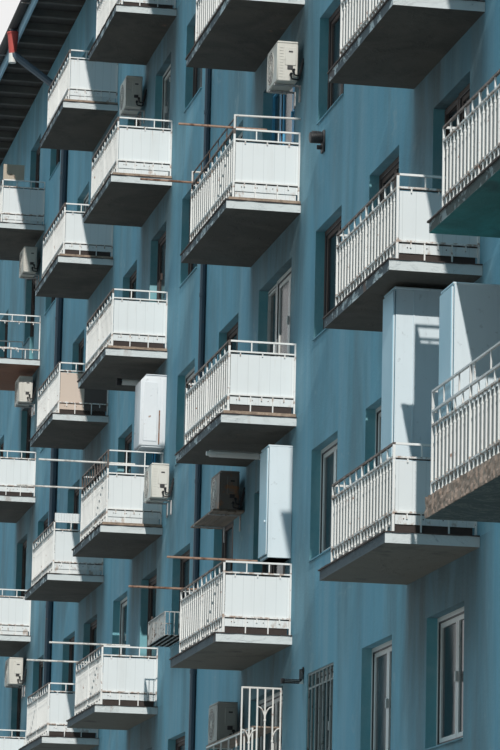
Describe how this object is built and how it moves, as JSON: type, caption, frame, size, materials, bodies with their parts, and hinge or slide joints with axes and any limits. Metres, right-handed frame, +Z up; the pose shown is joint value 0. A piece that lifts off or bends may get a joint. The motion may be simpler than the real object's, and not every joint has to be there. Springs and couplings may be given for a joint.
{
  "type": "apartment block, 1:2 scale model",
  "caption": "Long seven-storey apartment block with columns of cantilevered balconies, sheeted railings, open eaves and a gabled roof, at half size.",
  "frame": {"origin": "middle of the footprint, on the ground", "axes": "+X along the facade towards the end nearest the picture's viewer, the balconies face -Y, +Z up"},
  "size_m": [27.66, 7.6697, 12.6821],
  "materials": {
    "wall_paint": "matte, weathered blue paint on plaster",
    "wall_back": "matte, weathered blue paint on plaster",
    "concrete": "rough concrete",
    "slab_concrete": "rough, flaking paint",
    "old_timber": "weathered, dark",
    "roof_sheet": "dull folded sheet",
    "fascia_paint": "matte grey-blue",
    "dark_metal": "dull, dark",
    "railing_paint": "white paint, rust spots",
    "sheet_paint": "white paint, streaked",
    "dark_glass": "dark window glass",
    "door_paint": "matte brown",
    "cooler_shell": "off-white",
    "galvanised": "dull zinc",
    "cabinet_paint": "white, matte",
    "shelf_wood": "bare planks, weathered",
    "pole_metal": "dull, spotted with rust",
    "screen_board": "faded tan board"
  },
  "bodies": {
    "root": {"ground_slab": "concrete", "front_wall": "wall_paint", "back_wall": "wall_back", "left_end_wall": "wall_back", "right_end_wall": "wall_back", "floor_slabs": "concrete", "attic_slab": "concrete", "eave_beams": "old_timber", "eave_boards": "old_timber", "front_roof_slope": "roof_sheet", "back_roof_slope": "roof_sheet", "ridge_cap": "roof_sheet", "fascia_boards": "fascia_paint", "gutters": "dark_metal", "front_downpipes": "dark_metal", "back_downpipes": "dark_metal", "balcony_slabs_a": "slab_concrete", "front_railings_a": "railing_paint", "side_railings_a": "railing_paint", "balcony_slabs_b": "slab_concrete", "front_railings_b": "railing_paint", "side_railings_b": "railing_paint", "balcony_slabs_c": "slab_concrete", "front_railings_c": "railing_paint", "side_railings_c": "railing_paint", "balcony_slabs_d": "slab_concrete", "front_railings_d": "railing_paint", "side_railings_d": "railing_paint", "balcony_slabs_e": "slab_concrete", "front_railings_e": "railing_paint", "side_railings_e": "railing_paint", "balcony_slabs_f": "slab_concrete", "front_railings_f": "railing_paint", "side_railings_f": "railing_paint", "railing_sheets": "sheet_paint", "front_glass": "dark_glass", "back_glass": "dark_glass", "entrance_doors": "door_paint", "entrance_canopies": "concrete", "air_coolers": "cooler_shell", "cooler_brackets": "galvanised", "balcony_cabinets": "cabinet_paint", "wall_box": "cabinet_paint", "cooler_shelf": "shelf_wood", "flue_pipes": "cabinet_paint", "wall_lamp": "dark_metal", "cage_sides": "railing_paint", "cage_front": "railing_paint", "window_rack": "railing_paint", "clothes_poles": "pole_metal", "bent_tubes": "railing_paint", "balcony_screens": "screen_board"}
  },
  "joints": []
}
